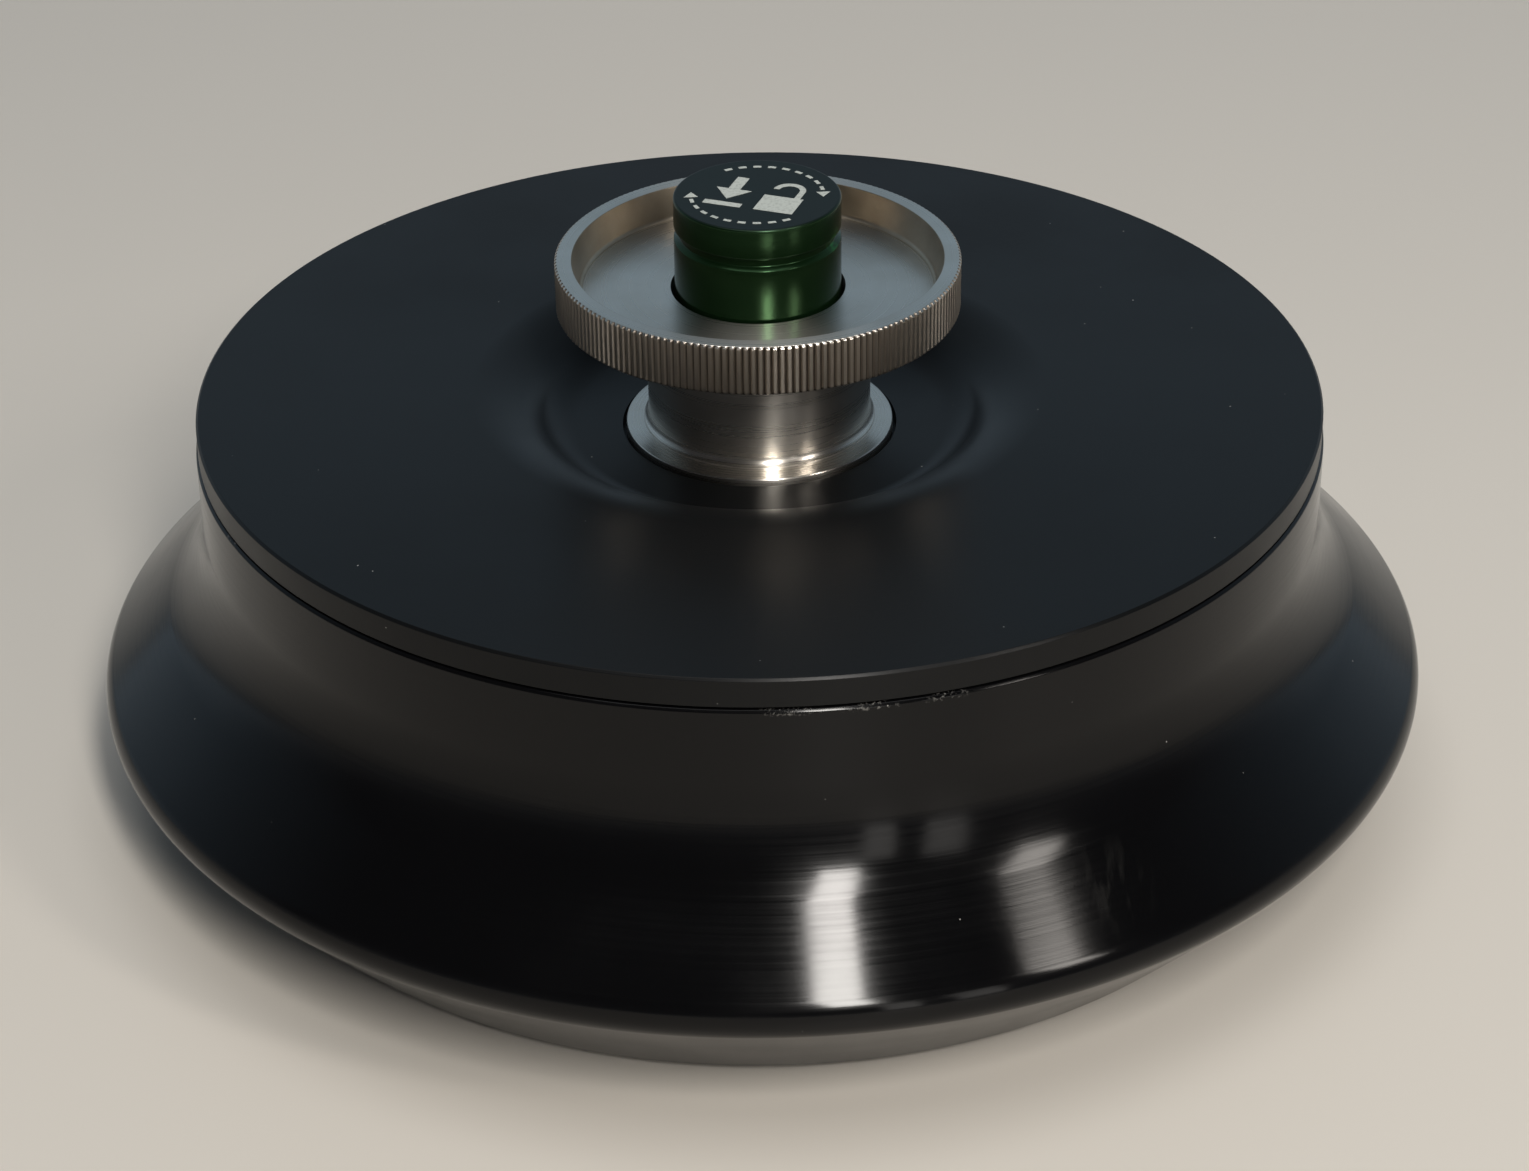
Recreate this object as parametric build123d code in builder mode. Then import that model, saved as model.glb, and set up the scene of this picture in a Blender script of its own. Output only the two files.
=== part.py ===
from build123d import *
import os
from math import cos, radians, sin, tan

# Sealed fixed-angle rotor for thirty 1.5 or 2 ml microtubes, with a screw-down lid and a push
# button that frees the rotor from its drive spindle. Millimetres. The origin is on the rotor's
# axis in the plane of its foot ring, and +Z is up. Every turned piece is a half section in the
# XZ plane (x is the radius, y is the height), revolved about Z.

os.makedirs("parts", exist_ok=True)

# ---------------------------------------------------------------- fits and clearances
running_fit = 0.08  # radial play of a shaft that turns or slides
press_fit = 0.02  # radial play left at a pressed or glued seat
loose_fit = 0.3  # radial play of a lid or flange in its recess
seal_play = 0.15  # play of an O-ring at the surface that moves past it
seat_play = 0.1  # axial play beside clips, rings and washers
edge_break = 0.4  # chamfer on visible turned edges

# ---------------------------------------------------------------- rotor body, outside
rim_r = 112.0  # widest circle
rim_z = 23.1  # height of the widest circle
nose_r = 4.5  # rounding of the rim
flank_angle = 45.0  # flank above the rim, from the horizontal
under_angle = 47.0  # cone below the rim, from the horizontal
rim_overhang = 18.65  # rim beyond the straight wall below the lid
cove_r = 24.0  # hollow curve between wall and flank
body_top = 66.2  # outer land below the lid
foot_height = 1.8  # the underside's edge above the table
foot_inset = 26.0  # foot ring's outside, in from the rim
foot_width = 7.0
recess_z = 3.5  # ceiling of the turned recess inside the foot ring

# ---------------------------------------------------------------- rotor body, inside
lid_gap = 0.6  # dark joint that shows all round below the lid
land_width = 2.8  # outer land beside the lid's seat
seat_width = 4.05  # flat that the lid rests on
bowl_wall = 7.8  # straight wall of the bowl, below the seat
bowl_floor_z = 22.0
bowl_fillet = 5.0

tube_count = 30
tube_angle = 45.0  # from the rotor's axis
tube_r = 5.55
tube_depth = 40.0
tip_inset = 12.0  # a tube's tip, in from the rim
tip_z = 18.6
tip_flat_r = 1.5
mouth_chamfer = 0.5

# ---------------------------------------------------------------- hub
column_r = 24.0
hub_flange_r = 36.0
hub_flange_height = 8.0
collar_r = 22.0
collar_z = 40.0  # top of the collar, where the hub narrows
shoulder_r = 18.5
shoulder_z = 52.0
stud_r = 14.95  # crest of the lid thread
chamber_top = 42.0  # ceiling of the chamber where the spindle's claws open
spring_pocket_r = 10.5
spring_floor_z = 58.0
hub_seal_cord = 2.5
hub_seal_z = 16.8

spindle_r = 12.0  # bore for the drive spindle
sleeve_r = 15.0
sleeve_top = 32.0
sleeve_flange_r = 18.5
sleeve_flange_height = 3.4
spindle_lead_in = 1.2

screw_count = 6
screw_ring_r = 30.0
screw_shank_r = 2.0
screw_head_r = 3.5
screw_head_height = 4.0
screw_length = 10.0  # below the head
tapped_spare = 1.0  # tapped hole past the screw's tip
screw_sink = 0.8  # head below the flange's face
hex_key = 3.0  # across flats

pin_count = 2
pin_ring_r = 22.4
pin_r = 2.0
pin_length = 9.0
pin_stand_out = 2.5

magnet_count = 4
magnet_ring_r = 50.0
magnet_r = 3.0
magnet_height = 3.0

# ---------------------------------------------------------------- lid
lid_step = 0.35  # lid's edge, in from the body's wall
lid_rim_height = 4.8
plate_thickness = 5.4
plug_depth = 7.2
plug_wall = 5.0
lid_seal_cord = 3.0
well_depth = 7.0  # shallow well around the knob
well_floor_r = 30.0
well_top_r = 45.0
boss_bottom_z = 56.0
boss_r = 26.0
plug_fillet = 2.5  # inside corner between plug and plate
flange_gap = 0.6  # gap around the knob's flange
knob_seal_cord = 2.2

# ---------------------------------------------------------------- knob
knob_r = 33.2  # over the knurl
knob_rise = 23.4  # knob's top above the lid's top
knob_height = 8.4
knurl_count = 183
knurl_depth = 0.45
knob_edge = 0.35
dish_top_r = 30.4
dish_floor_r = 29.3
dish_depth = 5.3
dish_fillet = 0.8
button_hole_r = 14.3
dish_lip = 3.5  # thickness of the floor around the button
neck_r = 18.45
neck_flare = 1.3  # height over which the neck widens at its foot
collar_step_r = 19.2
collar_step_rise = 1.6  # step's top above the well's floor
collar_step_height = 0.4
flange_r = 22.2
flange_rise = 0.85  # flange's outer edge above the well's floor
flange_sink = 1.3  # flange's bottom below the well's floor
flange_edge = 0.15
thrust_washer_height = 0.8
knob_sleeve_r = 17.5
knob_sleeve_bottom = 53.0
clip_height = 1.2
clip_groove = 0.9  # depth of a clip's groove
clip_overcut = 0.5  # cut for a clip's gap, past its edges
knob_clip_r = 20.5

# ---------------------------------------------------------------- button
button_r = 13.65
button_rise = 34.3  # button's top above the lid's top
button_height = 22.3
button_travel = 5.0
button_gap = 0.6  # left above the stud when the button is down
button_edge = 0.45
groove_drop = 5.1  # groove's upper edge below the button's top
groove_height = 2.2
groove_depth = 0.9
groove_slope = 0.5
plunger_r = 4.0
plunger_bottom = 36.0
plunger_thread = 10.0  # screwed into the button
plunger_clip_r = 7.0
bush_r = 6.0
bush_top = 55.6
plunger_seal_cord = 1.8
spring_seat_height = 1.0
spring_coil_r = 8.0
spring_wire_r = 0.7
spring_turns = 5.5

# ---------------------------------------------------------------- places worked out from the above
wall_r = rim_r - rim_overhang
foot_r = rim_r - foot_inset
tip_r = rim_r - tip_inset
lid_r = wall_r - lid_step
seat_r = wall_r - land_width
bowl_r = seat_r - seat_width
seat_z = body_top + lid_gap
lid_top = seat_z + lid_rim_height
well_floor_z = lid_top - well_depth
flange_bottom = well_floor_z - flange_sink
washer_bottom = flange_bottom - thrust_washer_height
knob_top = lid_top + knob_rise
knob_under = knob_top - knob_height
dish_floor_z = knob_top - dish_depth
button_top = lid_top + button_rise
button_bottom = button_top - button_height
stud_top = button_bottom - button_travel - button_gap
knob_bore_r = stud_r + running_fit
lid_bore_r = knob_sleeve_r + running_fit
plug_r = bowl_r - loose_fit
ledge_z = seat_z - bowl_wall
hub_seat_z = recess_z + hub_flange_height
column_hole_r = column_r + press_fit
bush_hole_r = bush_r + press_fit
spring_seat_top = spring_floor_z + spring_seat_height
sleeve_flange_top = recess_z + sleeve_flange_height
screw_seat_z = recess_z + screw_sink + screw_head_height
screw_tip_z = screw_seat_z + screw_length
hub_seal_groove_r = column_r - hub_seal_cord
hub_seal_half_groove = hub_seal_cord / 2 + seat_play
lid_seal_r = bowl_r - seal_play - lid_seal_cord / 2
lid_seal_groove_r = lid_seal_r - lid_seal_cord / 2 - press_fit
lid_seal_half_groove = lid_seal_cord / 2 + seat_play
lid_seal_z = seat_z - plug_depth / 2
plate_under_z = lid_top - plate_thickness
flange_recess_r = flange_r + flange_gap
knob_seal_r = knob_sleeve_r + seal_play + knob_seal_cord / 2
knob_seal_groove_r = knob_seal_r + knob_seal_cord / 2 + press_fit
knob_seal_half_groove = knob_seal_cord / 2 + seat_play
knob_seal_z = (washer_bottom + boss_bottom_z) / 2
knob_clip_z = boss_bottom_z - seat_play - clip_height
knob_groove_r = knob_sleeve_r - clip_groove
plunger_clip_z = chamber_top - seat_play - clip_height
plunger_groove_r = plunger_r - clip_groove
plunger_top = button_bottom + plunger_thread
plunger_seal_r = plunger_r + seal_play + plunger_seal_cord / 2
groove_top_z = button_top - groove_drop
groove_bottom_z = groove_top_z - groove_height

# Mouth of a tube bore: the tube's tip, taken back up the bore's axis.
mouth_r = tip_r - tube_depth * sin(radians(tube_angle))
mouth_z = tip_z + tube_depth * cos(radians(tube_angle))


def mouth_face_r(height):
    """Radius of the conical face that the tube bores open in, square to their axes."""
    return mouth_r + (height - mouth_z) / tan(radians(tube_angle))


def corner(sketch, r, z):
    """The vertex of a half section nearest to a radius and a height."""
    return sketch.vertices().sort_by_distance((r, z, 0))[0]


def o_ring(centre_r, cord, z):
    """A round-section sealing ring about the axis."""
    with BuildPart() as ring:
        with BuildSketch(Plane.XZ):
            with Locations((centre_r, z)):
                Circle(cord / 2)
        revolve(axis=Axis.Z)
    return ring


def flat_ring(inner_r, outer_r, z, height):
    """A plain washer about the axis."""
    with BuildPart() as ring:
        with BuildSketch(Plane.XY.offset(z)):
            Circle(outer_r)
            Circle(inner_r, mode=Mode.SUBTRACT)
        extrude(amount=height)
    return ring


def open_clip(inner_r, outer_r, z, height):
    """A retaining ring with the gap by which it is sprung into its groove."""
    with BuildPart() as clip:
        with BuildSketch(Plane.XY.offset(z)):
            Circle(outer_r)
            Circle(inner_r, mode=Mode.SUBTRACT)
            with Locations((outer_r, 0)):
                Rectangle(2 * (outer_r - inner_r + clip_overcut), inner_r / 2, mode=Mode.SUBTRACT)
        extrude(amount=height)
    return clip


# ================================================================ rotor body
# The rim's two straight lines would meet at an apex outside the rounded nose.
nose_half_angle = radians(flank_angle + under_angle) / 2
nose_lean = radians(flank_angle - under_angle) / 2
apex_r = rim_r - nose_r + nose_r * cos(nose_lean) / sin(nose_half_angle)
apex_z = rim_z - nose_r * sin(nose_lean) / sin(nose_half_angle)
cove_z = apex_z + (apex_r - wall_r) * tan(radians(flank_angle))
under_r = apex_r - (apex_z - foot_height) / tan(radians(under_angle))

# One tube bore, cut from its mouth at the origin down along -Z.
bore_mouth_r = tube_r + mouth_chamfer
bore_cone = tube_r - tip_flat_r
with BuildPart() as tube_bore:
    with BuildSketch(Plane.XZ):
        with BuildLine():
            Polyline(
                (0, mouth_chamfer),
                (bore_mouth_r + mouth_chamfer, mouth_chamfer),
                (tube_r, -mouth_chamfer),
                (tube_r, bore_cone - tube_depth),
                (tip_flat_r, -tube_depth),
                (0, -tube_depth),
                close=True,
            )
        make_face()
    revolve(axis=Axis.Z)

with BuildPart() as rotor_body:
    with BuildSketch(Plane.XZ) as body_section:
        with BuildLine():
            Polyline(
                (column_hole_r, hub_seat_z),
                (column_hole_r, bowl_floor_z),
                (mouth_face_r(bowl_floor_z), bowl_floor_z),
                (mouth_face_r(ledge_z), ledge_z),
                (bowl_r, ledge_z),
                (bowl_r, seat_z),
                (seat_r, seat_z),
                (seat_r, body_top),
                (wall_r, body_top),
                (wall_r, cove_z),
                (apex_r, apex_z),
                (under_r, foot_height),
                (foot_r, foot_height),
                (foot_r, 0),
                (foot_r - foot_width, 0),
                (foot_r - foot_width, recess_z),
                (hub_flange_r + loose_fit, recess_z),
                (hub_flange_r + loose_fit, hub_seat_z),
                close=True,
            )
        make_face()
        fillet(corner(body_section, apex_r, apex_z), nose_r)
        fillet(corner(body_section, wall_r, cove_z), cove_r)
        fillet(corner(body_section, mouth_face_r(bowl_floor_z), bowl_floor_z), bowl_fillet)
        chamfer(corner(body_section, wall_r, body_top), edge_break)
        chamfer(corner(body_section, bowl_r, seat_z), edge_break)
    revolve(axis=Axis.Z)
    with PolarLocations(mouth_r, tube_count):
        with Locations(Location((0, 0, mouth_z), (0, -tube_angle, 0))):
            add(tube_bore.part, mode=Mode.SUBTRACT)
    with BuildSketch(Plane.XY.offset(recess_z)):
        with PolarLocations(magnet_ring_r, magnet_count):
            Circle(magnet_r + press_fit)
    extrude(amount=magnet_height, mode=Mode.SUBTRACT)
    with BuildSketch(Plane.XY.offset(hub_seat_z)):
        with PolarLocations(screw_ring_r, screw_count):
            Circle(screw_shank_r + press_fit)
    extrude(amount=screw_tip_z + tapped_spare - hub_seat_z, mode=Mode.SUBTRACT)
rotor_body.part.label = "rotor_body"
export_step(rotor_body.part, "parts/rotor_body.step")

# ================================================================ hub
# Stands on a flange that is screwed up into the body from below. Its stud carries the lid's
# thread outside and the button's spring inside.
with BuildPart() as hub:
    with BuildSketch(Plane.XZ) as hub_section:
        with BuildLine():
            Polyline(
                (sleeve_r + press_fit, chamber_top),
                (sleeve_r + press_fit, sleeve_flange_top),
                (sleeve_flange_r + press_fit, sleeve_flange_top),
                (sleeve_flange_r + press_fit, recess_z),
                (hub_flange_r, recess_z),
                (hub_flange_r, hub_seat_z),
                (column_r, hub_seat_z),
                (column_r, hub_seal_z - hub_seal_half_groove),
                (hub_seal_groove_r, hub_seal_z - hub_seal_half_groove),
                (hub_seal_groove_r, hub_seal_z + hub_seal_half_groove),
                (column_r, hub_seal_z + hub_seal_half_groove),
                (column_r, bowl_floor_z),
                (collar_r, bowl_floor_z + column_r - collar_r),
                (collar_r, collar_z),
                (shoulder_r, shoulder_z - 2 * edge_break),
                (shoulder_r, shoulder_z),
                (stud_r, shoulder_z),
                (stud_r, stud_top),
                (spring_pocket_r, stud_top),
                (spring_pocket_r, spring_floor_z),
                (bush_hole_r, spring_floor_z),
                (bush_hole_r, chamber_top),
                close=True,
            )
        make_face()
        chamfer(corner(hub_section, stud_r, stud_top), 2 * edge_break)
        chamfer(corner(hub_section, hub_flange_r, recess_z), edge_break)
    revolve(axis=Axis.Z)
    with BuildSketch(Plane.XY.offset(recess_z)):
        with PolarLocations(screw_ring_r, screw_count):
            Circle(screw_head_r + running_fit)
    extrude(amount=screw_seat_z - recess_z, mode=Mode.SUBTRACT)
    with BuildSketch(Plane.XY.offset(screw_seat_z)):
        with PolarLocations(screw_ring_r, screw_count):
            Circle(screw_shank_r + running_fit)
    extrude(amount=hub_seat_z - screw_seat_z, mode=Mode.SUBTRACT)
    with BuildSketch(Plane.XY.offset(recess_z)):
        with PolarLocations(pin_ring_r, pin_count, start_angle=90):
            Circle(pin_r + press_fit)
    extrude(amount=pin_length - pin_stand_out, mode=Mode.SUBTRACT)
hub.part.label = "hub"
export_step(hub.part, "parts/hub.step")

hub_seal = o_ring(hub_seal_groove_r + hub_seal_cord / 2, hub_seal_cord, hub_seal_z)
hub_seal.part.label = "hub_seal"
export_step(hub_seal.part, "parts/hub_seal.step")

# Hardened sleeve: its bore centres the spindle, and its top edge is what the claws hold.
with BuildPart() as lock_sleeve:
    with BuildSketch(Plane.XZ):
        with BuildLine():
            Polyline(
                (spindle_r, recess_z + spindle_lead_in),
                (spindle_r, sleeve_top),
                (sleeve_r, sleeve_top),
                (sleeve_r, sleeve_flange_top),
                (sleeve_flange_r, sleeve_flange_top),
                (sleeve_flange_r, recess_z),
                (spindle_r + spindle_lead_in, recess_z),
                close=True,
            )
        make_face()
    revolve(axis=Axis.Z)
lock_sleeve.part.label = "lock_sleeve"
export_step(lock_sleeve.part, "parts/lock_sleeve.step")

# Socket-head screws, heads down, sunk in the hub's flange.
with BuildPart() as hub_screws:
    with BuildSketch(Plane.XY.offset(recess_z + screw_sink)):
        with PolarLocations(screw_ring_r, screw_count):
            Circle(screw_head_r)
    extrude(amount=screw_head_height)
    with BuildSketch(Plane.XY.offset(screw_seat_z)):
        with PolarLocations(screw_ring_r, screw_count):
            Circle(screw_shank_r)
    extrude(amount=screw_length)
    with BuildSketch(Plane.XY.offset(recess_z + screw_sink)):
        with PolarLocations(screw_ring_r, screw_count):
            RegularPolygon(hex_key / 2, 6, major_radius=False)
    extrude(amount=screw_head_height / 2, mode=Mode.SUBTRACT)
hub_screws.part.label = "hub_screws"
export_step(hub_screws.part, "parts/hub_screws.step")

with BuildPart() as drive_pins:
    with BuildSketch(Plane.XY.offset(recess_z - pin_stand_out)):
        with PolarLocations(pin_ring_r, pin_count, start_angle=90):
            Circle(pin_r)
    extrude(amount=pin_length)
    chamfer(drive_pins.faces().sort_by(Axis.Z)[:pin_count].edges(), edge_break)
drive_pins.part.label = "drive_pins"
export_step(drive_pins.part, "parts/drive_pins.step")

with BuildPart() as rotor_id_magnets:
    with BuildSketch(Plane.XY.offset(recess_z)):
        with PolarLocations(magnet_ring_r, magnet_count):
            Circle(magnet_r)
    extrude(amount=magnet_height)
rotor_id_magnets.part.label = "rotor_id_magnets"
export_step(rotor_id_magnets.part, "parts/rotor_id_magnets.step")

# ================================================================ button and its drive
plunger_bush = flat_ring(plunger_r + running_fit, bush_r, chamber_top, bush_top - chamber_top)
plunger_bush.part.label = "plunger_bush"
export_step(plunger_bush.part, "parts/plunger_bush.step")

plunger_seal = o_ring(plunger_seal_r, plunger_seal_cord, (bush_top + spring_floor_z) / 2)
plunger_seal.part.label = "plunger_seal"
export_step(plunger_seal.part, "parts/plunger_seal.step")

spring_seat = flat_ring(
    plunger_r + loose_fit, spring_pocket_r - loose_fit, spring_floor_z, spring_seat_height
)
spring_seat.part.label = "spring_seat"
export_step(spring_seat.part, "parts/spring_seat.step")

# The coil stands between its seat and the button's underside.
coil_height = button_bottom - spring_seat_top - 2 * spring_wire_r - seat_play
coil_bottom = spring_seat_top + spring_wire_r + seat_play / 2
with BuildPart() as return_spring:
    with BuildLine() as coil:
        Helix(coil_height / spring_turns, coil_height, spring_coil_r, center=(0, 0, coil_bottom))
    with BuildSketch(Plane(origin=coil.line @ 0, z_dir=coil.line % 0)):
        Circle(spring_wire_r)
    sweep(is_frenet=True)
return_spring.part.label = "return_spring"
export_step(return_spring.part, "parts/return_spring.step")

with BuildPart() as plunger:
    with BuildSketch(Plane.XZ) as plunger_section:
        with BuildLine():
            Polyline(
                (0, plunger_bottom),
                (plunger_r, plunger_bottom),
                (plunger_r, plunger_clip_z),
                (plunger_groove_r, plunger_clip_z),
                (plunger_groove_r, plunger_clip_z + clip_height),
                (plunger_r, plunger_clip_z + clip_height),
                (plunger_r, plunger_top),
                (0, plunger_top),
                close=True,
            )
        make_face()
        chamfer(corner(plunger_section, plunger_r, plunger_bottom), 2 * edge_break)
    revolve(axis=Axis.Z)
plunger.part.label = "plunger"
export_step(plunger.part, "parts/plunger.step")

plunger_clip = open_clip(
    plunger_groove_r + press_fit, plunger_clip_r, plunger_clip_z, clip_height
)
plunger_clip.part.label = "plunger_clip"
export_step(plunger_clip.part, "parts/plunger_clip.step")

with BuildPart() as button:
    with BuildSketch(Plane.XZ) as button_section:
        with BuildLine():
            Polyline(
                (plunger_r + press_fit, button_bottom),
                (button_r, button_bottom),
                (button_r, groove_bottom_z),
                (button_r - groove_depth, groove_bottom_z + groove_slope),
                (button_r - groove_depth, groove_top_z - groove_slope),
                (button_r, groove_top_z),
                (button_r, button_top),
                (0, button_top),
                (0, plunger_top),
                (plunger_r + press_fit, plunger_top),
                close=True,
            )
        make_face()
        fillet(corner(button_section, button_r, button_top), button_edge)
        chamfer(corner(button_section, button_r, button_bottom), button_edge)
    revolve(axis=Axis.Z)
button.part.label = "button"
export_step(button.part, "parts/button.step")

# ================================================================ lid
def well_curve(floor_z, top_z):
    """The well's S-shaped side: two equal tangent arcs, level at both ends."""
    middle = ((well_floor_r + well_top_r) / 2, (floor_z + top_z) / 2)
    lower = TangentArc((well_floor_r, floor_z), middle, tangent=(1, 0))
    TangentArc(middle, (well_top_r, top_z), tangent=lower % 1)


with BuildPart() as lid:
    with BuildSketch(Plane.XZ) as lid_section:
        with BuildLine():
            well_curve(well_floor_z, lid_top)
            Polyline(
                (well_top_r, lid_top),
                (lid_r, lid_top),
                (lid_r, seat_z),
                (plug_r, seat_z),
                (plug_r, lid_seal_z + lid_seal_half_groove),
                (lid_seal_groove_r, lid_seal_z + lid_seal_half_groove),
                (lid_seal_groove_r, lid_seal_z - lid_seal_half_groove),
                (plug_r, lid_seal_z - lid_seal_half_groove),
                (plug_r, seat_z - plug_depth),
                (plug_r - plug_wall, seat_z - plug_depth),
                (plug_r - plug_wall, plate_under_z),
                (well_top_r, plate_under_z),
            )
            well_curve(well_floor_z - plate_thickness, plate_under_z)
            Polyline(
                (well_floor_r, well_floor_z - plate_thickness),
                (boss_r, well_floor_z - plate_thickness),
                (boss_r, boss_bottom_z),
                (lid_bore_r, boss_bottom_z),
                (lid_bore_r, knob_seal_z - knob_seal_half_groove),
                (knob_seal_groove_r, knob_seal_z - knob_seal_half_groove),
                (knob_seal_groove_r, knob_seal_z + knob_seal_half_groove),
                (lid_bore_r, knob_seal_z + knob_seal_half_groove),
                (lid_bore_r, washer_bottom),
                (flange_recess_r, washer_bottom),
                (flange_recess_r, well_floor_z),
                (well_floor_r, well_floor_z),
            )
        make_face()
        chamfer(corner(lid_section, lid_r, lid_top), edge_break)
        chamfer(corner(lid_section, plug_r, seat_z - plug_depth), edge_break)
        fillet(corner(lid_section, plug_r - plug_wall, plate_under_z), plug_fillet)
    revolve(axis=Axis.Z)
lid.part.label = "lid"
export_step(lid.part, "parts/lid.step")

lid_seal = o_ring(lid_seal_r, lid_seal_cord, lid_seal_z)
lid_seal.part.label = "lid_seal"
export_step(lid_seal.part, "parts/lid_seal.step")

knob_seal = o_ring(knob_seal_r, knob_seal_cord, knob_seal_z)
knob_seal.part.label = "knob_seal"
export_step(knob_seal.part, "parts/knob_seal.step")

thrust_washer = flat_ring(
    knob_sleeve_r + loose_fit, flange_r - loose_fit, washer_bottom, thrust_washer_height
)
thrust_washer.part.label = "thrust_washer"
export_step(thrust_washer.part, "parts/thrust_washer.step")

# ================================================================ knob
# Dish with a knurled edge, neck and stepped foot flange above the lid, threaded sleeve below.
neck_foot_z = well_floor_z + collar_step_rise
with BuildPart() as knob:
    with BuildSketch(Plane.XZ) as knob_section:
        with BuildLine():
            TangentArc(
                (neck_r, neck_foot_z + neck_flare),
                (collar_step_r, neck_foot_z),
                tangent=(0, -1),
            )
            Polyline(
                (collar_step_r, neck_foot_z),
                (collar_step_r, neck_foot_z - collar_step_height),
                (flange_r, well_floor_z + flange_rise),
                (flange_r, flange_bottom),
                (knob_sleeve_r, flange_bottom),
                (knob_sleeve_r, knob_clip_z + clip_height),
                (knob_groove_r, knob_clip_z + clip_height),
                (knob_groove_r, knob_clip_z),
                (knob_sleeve_r, knob_clip_z),
                (knob_sleeve_r, knob_sleeve_bottom),
                (knob_bore_r, knob_sleeve_bottom),
                (knob_bore_r, dish_floor_z - dish_lip),
                (button_hole_r, dish_floor_z - dish_lip),
                (button_hole_r, dish_floor_z),
                (dish_floor_r, dish_floor_z),
                (dish_top_r, knob_top),
                (knob_r, knob_top),
                (knob_r, knob_under),
                (neck_r, knob_under),
                (neck_r, neck_foot_z + neck_flare),
            )
        make_face()
        chamfer(corner(knob_section, knob_r, knob_top), knob_edge)
        chamfer(corner(knob_section, knob_r, knob_under), knob_edge)
        chamfer(corner(knob_section, knob_sleeve_r, knob_sleeve_bottom), edge_break)
        chamfer(corner(knob_section, flange_r, well_floor_z + flange_rise), flange_edge)
        fillet(corner(knob_section, dish_floor_r, dish_floor_z), dish_fillet)
        fillet(corner(knob_section, neck_r, knob_under), dish_fillet)
    revolve(axis=Axis.Z)
    # Straight knurl: upright V grooves, cut as one corner of a turned square.
    with BuildSketch(Plane.XY.offset(knob_under)):
        with PolarLocations(knob_r, knurl_count):
            Rectangle(knurl_depth * 2**0.5, knurl_depth * 2**0.5, rotation=45)
    extrude(amount=knob_height, mode=Mode.SUBTRACT)
knob.part.label = "knob"
export_step(knob.part, "parts/knob.step")

knob_clip = open_clip(knob_groove_r + press_fit, knob_clip_r, knob_clip_z, clip_height)
knob_clip.part.label = "knob_clip"
export_step(knob_clip.part, "parts/knob_clip.step")
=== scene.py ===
from math import ceil, cos, pi, radians, sin

import bmesh
import bpy
from mathutils import Matrix, Vector


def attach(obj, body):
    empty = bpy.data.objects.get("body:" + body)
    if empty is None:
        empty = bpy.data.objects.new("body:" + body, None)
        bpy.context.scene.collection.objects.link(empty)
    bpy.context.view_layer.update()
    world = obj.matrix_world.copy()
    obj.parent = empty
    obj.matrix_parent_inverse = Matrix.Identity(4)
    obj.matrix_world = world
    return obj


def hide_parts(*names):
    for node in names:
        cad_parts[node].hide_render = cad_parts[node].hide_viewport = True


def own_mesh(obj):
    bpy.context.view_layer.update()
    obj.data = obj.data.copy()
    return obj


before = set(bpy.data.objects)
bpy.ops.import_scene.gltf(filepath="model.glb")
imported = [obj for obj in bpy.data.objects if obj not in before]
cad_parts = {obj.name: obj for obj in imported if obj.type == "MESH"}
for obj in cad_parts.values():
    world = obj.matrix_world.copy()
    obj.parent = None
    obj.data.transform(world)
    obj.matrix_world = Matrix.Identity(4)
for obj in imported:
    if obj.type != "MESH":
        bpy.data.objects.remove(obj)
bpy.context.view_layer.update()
scene = bpy.context.scene
scene.view_settings.view_transform = "Standard"

# ------------------------------------------------------------ table, lamps and camera
# The rotor stands on a pale laminate table. Two tall windows to its front right give the
# upright streaks on its turned sides, and a wide soft lamp overhead fills in from above.


def linear(code):
    """An sRGB hex colour as linear red, green, blue and alpha."""
    channels = [int(code[i : i + 2], 16) / 255 for i in (1, 3, 5)]
    light = [c / 12.92 if c <= 0.04045 else ((c + 0.055) / 1.055) ** 2.4 for c in channels]
    return light + [1.0]


def add_node(tree, kind, inputs, **settings):
    """Adds a shader node: each input gets a value, or a link where it is another's output."""
    node = tree.nodes.new("ShaderNode" + kind)
    for setting, value in settings.items():
        setattr(node, setting, value)
    for place, value in inputs.items():
        if isinstance(value, bpy.types.NodeSocket):
            tree.links.new(value, node.inputs[place])
        else:
            node.inputs[place].default_value = value
    return node


def new_finish(name):
    """A material with an empty node tree."""
    material = bpy.data.materials.new(name)
    material.use_nodes = True
    material.node_tree.nodes.clear()
    return material, material.node_tree


table_r, table_drop = 6.0, 0.0001  # the drop keeps its face clear of the foot's
mesh = bmesh.new()
bmesh.ops.create_circle(mesh, cap_ends=True, segments=64, radius=table_r)
bmesh.ops.translate(mesh, verts=mesh.verts[:], vec=(0, 0, -table_drop))
table = bpy.data.objects.new("table", bpy.data.meshes.new("table"))
mesh.to_mesh(table.data)
mesh.free()
scene.collection.objects.link(table)

# Melamine laminate: pale warm grey and matt, with only a dim sheen.
laminate, tree = new_finish("laminate table top, melamine")
surface = add_node(
    tree,
    "BsdfPrincipled",
    {"Base Color": linear("#CFC9C0"), "Roughness": 0.42, "Specular IOR Level": 0.3},
)
add_node(tree, "OutputMaterial", {"Surface": surface.outputs[0]})
table.data.materials.append(laminate)

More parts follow.
